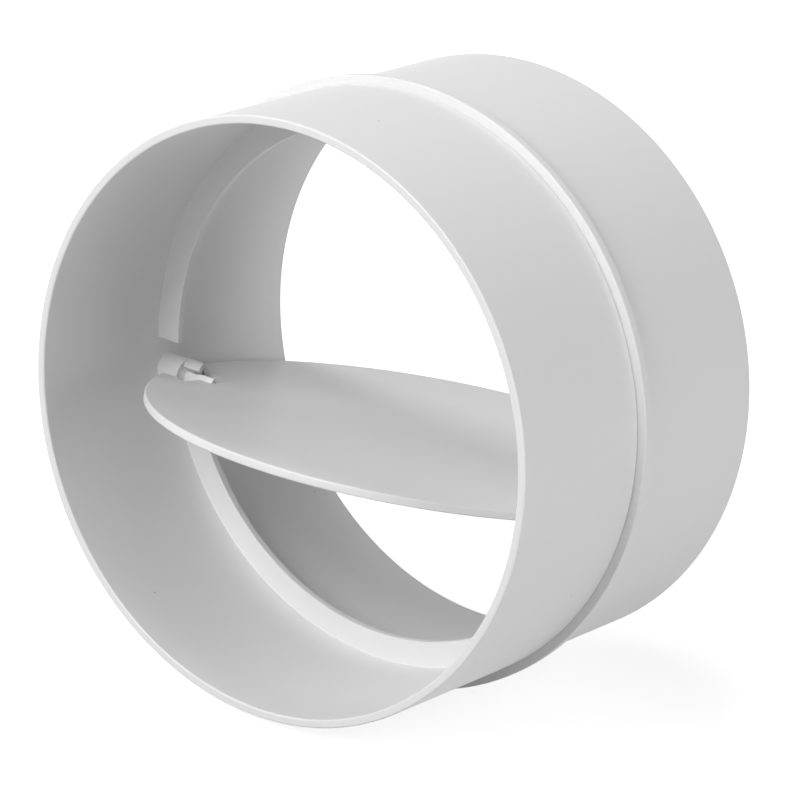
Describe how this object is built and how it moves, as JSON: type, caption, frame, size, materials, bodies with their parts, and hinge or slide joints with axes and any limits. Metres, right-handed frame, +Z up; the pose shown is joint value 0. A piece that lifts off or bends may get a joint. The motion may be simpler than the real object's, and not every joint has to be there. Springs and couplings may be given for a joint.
{
  "type": "duct backdraft damper",
  "caption": "Short round duct connector with a stop collar outside and a thin round flap inside that swings on pins between opposed half-ring seats, so air passes one way.",
  "frame": {"origin": "on the tube's axis, in the middle of the outer stop collar", "axes": "+Y along the tube in the direction of the airflow that opens the flap, +X along the flap's pivot, +Z up; the pivot lies below the tube's axis"},
  "size_m": [0.1024, 0.0912, 0.1024],
  "materials": {
    "white_plastic": "satin, as moulded"
  },
  "bodies": {
    "housing": {"housing": "white_plastic"},
    "flap": {"flap": "white_plastic"}
  },
  "joints": [
    {"name": "flap_hinge", "type": "hinge", "parent": "housing", "child": "flap", "pos_m": [0, 0, -0.0101], "axis": [1, 0, 0], "range_deg": [0, 98.1]}
  ]
}
